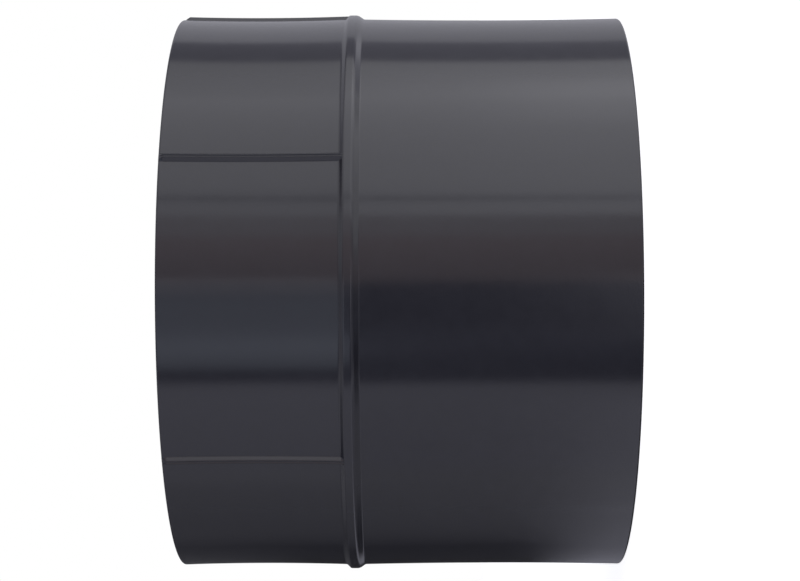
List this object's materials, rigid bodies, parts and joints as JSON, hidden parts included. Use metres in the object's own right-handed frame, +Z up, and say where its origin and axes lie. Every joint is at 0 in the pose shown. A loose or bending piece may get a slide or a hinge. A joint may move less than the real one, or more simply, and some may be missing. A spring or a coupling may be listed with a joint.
{
  "type": "pipe coupling",
  "caption": "One-piece moulded PVC slip coupling: a round sleeve with a pipe socket at each end, a stop ring inside, and a low ridge and lengthwise ribs outside.",
  "frame": {"origin": "centre of the plain end's rim, on the surface that the coupling stands on", "axes": "+Z up the coupling's axis from the plain end to the ribbed end, +X through one of the ribs"},
  "size_m": [0.1276, 0.1276, 0.0992],
  "materials": {
    "moulded_pvc": "moulded, semi-gloss, dark grey"
  },
  "bodies": {
    "root": {"coupling_body": "moulded_pvc"}
  },
  "joints": []
}
